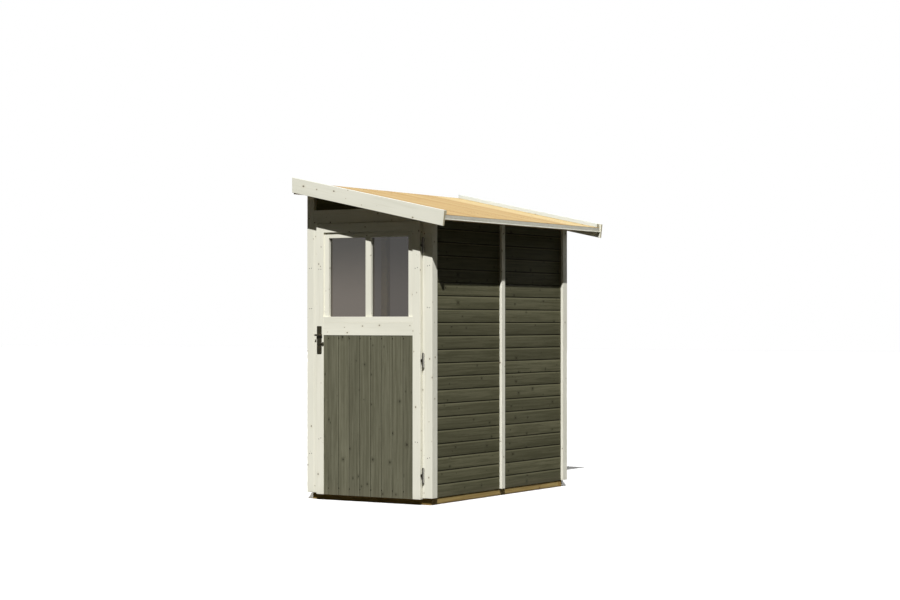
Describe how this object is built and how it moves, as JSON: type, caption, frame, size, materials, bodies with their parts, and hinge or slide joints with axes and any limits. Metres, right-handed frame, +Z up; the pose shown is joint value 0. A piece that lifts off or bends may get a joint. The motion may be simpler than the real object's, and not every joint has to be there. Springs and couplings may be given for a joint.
{
  "type": "lean-to garden shed",
  "caption": "Wooden lean-to garden shed with a sloping board roof, painted posts, boarded walls and a hinged half-glazed door; its high side is open to stand against a wall.",
  "frame": {"origin": "centre of the roof's plan outline, on the ground", "axes": "+Z up, -Y out of the door front, -X towards the wall that the high side stands against"},
  "size_m": [1.207, 2.206, 2.177],
  "materials": {
    "white_paint": "satin paint",
    "grey_paint": "matt stain",
    "raw_wood": "planed",
    "zinc": "galvanised",
    "hinge_steel": "zinc plated",
    "black_iron": "satin",
    "glass": "clear"
  },
  "bodies": {
    "shed": {"post_front_left": "white_paint", "post_front_right": "white_paint", "post_middle_left": "white_paint", "post_middle_right": "white_paint", "post_rear_left": "white_paint", "post_rear_right": "white_paint", "door_header": "white_paint", "door_jamb_left": "white_paint", "door_jamb_right": "white_paint", "fascia_front": "white_paint", "fascia_rear": "white_paint", "edge_batten_front": "white_paint", "edge_batten_rear": "white_paint", "right_wall_front": "grey_paint", "right_wall_rear": "grey_paint", "rear_wall": "grey_paint", "front_gable": "grey_paint", "base_beam_front": "raw_wood", "base_beam_rear": "raw_wood", "base_beam_left": "raw_wood", "base_beam_right": "raw_wood", "base_joist": "raw_wood", "floor": "raw_wood", "purlin_high": "raw_wood", "purlin_low": "raw_wood", "roof_deck": "raw_wood", "drip_edge": "zinc", "hinge_pin_low": "hinge_steel", "hinge_pin_middle": "hinge_steel", "hinge_pin_high": "hinge_steel"},
    "door": {"door_stile_left": "white_paint", "door_stile_right": "white_paint", "door_rail_top": "white_paint", "door_rail_middle": "white_paint", "door_ledge": "white_paint", "door_panel": "grey_paint", "window_sash": "white_paint", "window_pane": "glass", "handle_plate": "black_iron", "door_knob": "black_iron", "lock_turn": "black_iron", "inside_handle": "black_iron", "hinge_wing_low": "hinge_steel", "hinge_wing_middle": "hinge_steel", "hinge_wing_high": "hinge_steel"}
  },
  "joints": [
    {"name": "door_swing", "type": "hinge", "parent": "shed", "child": "door", "pos_m": [0.3395, -0.939, 0.951], "axis": [0, 0, 1], "range_deg": [0, 90]}
  ]
}
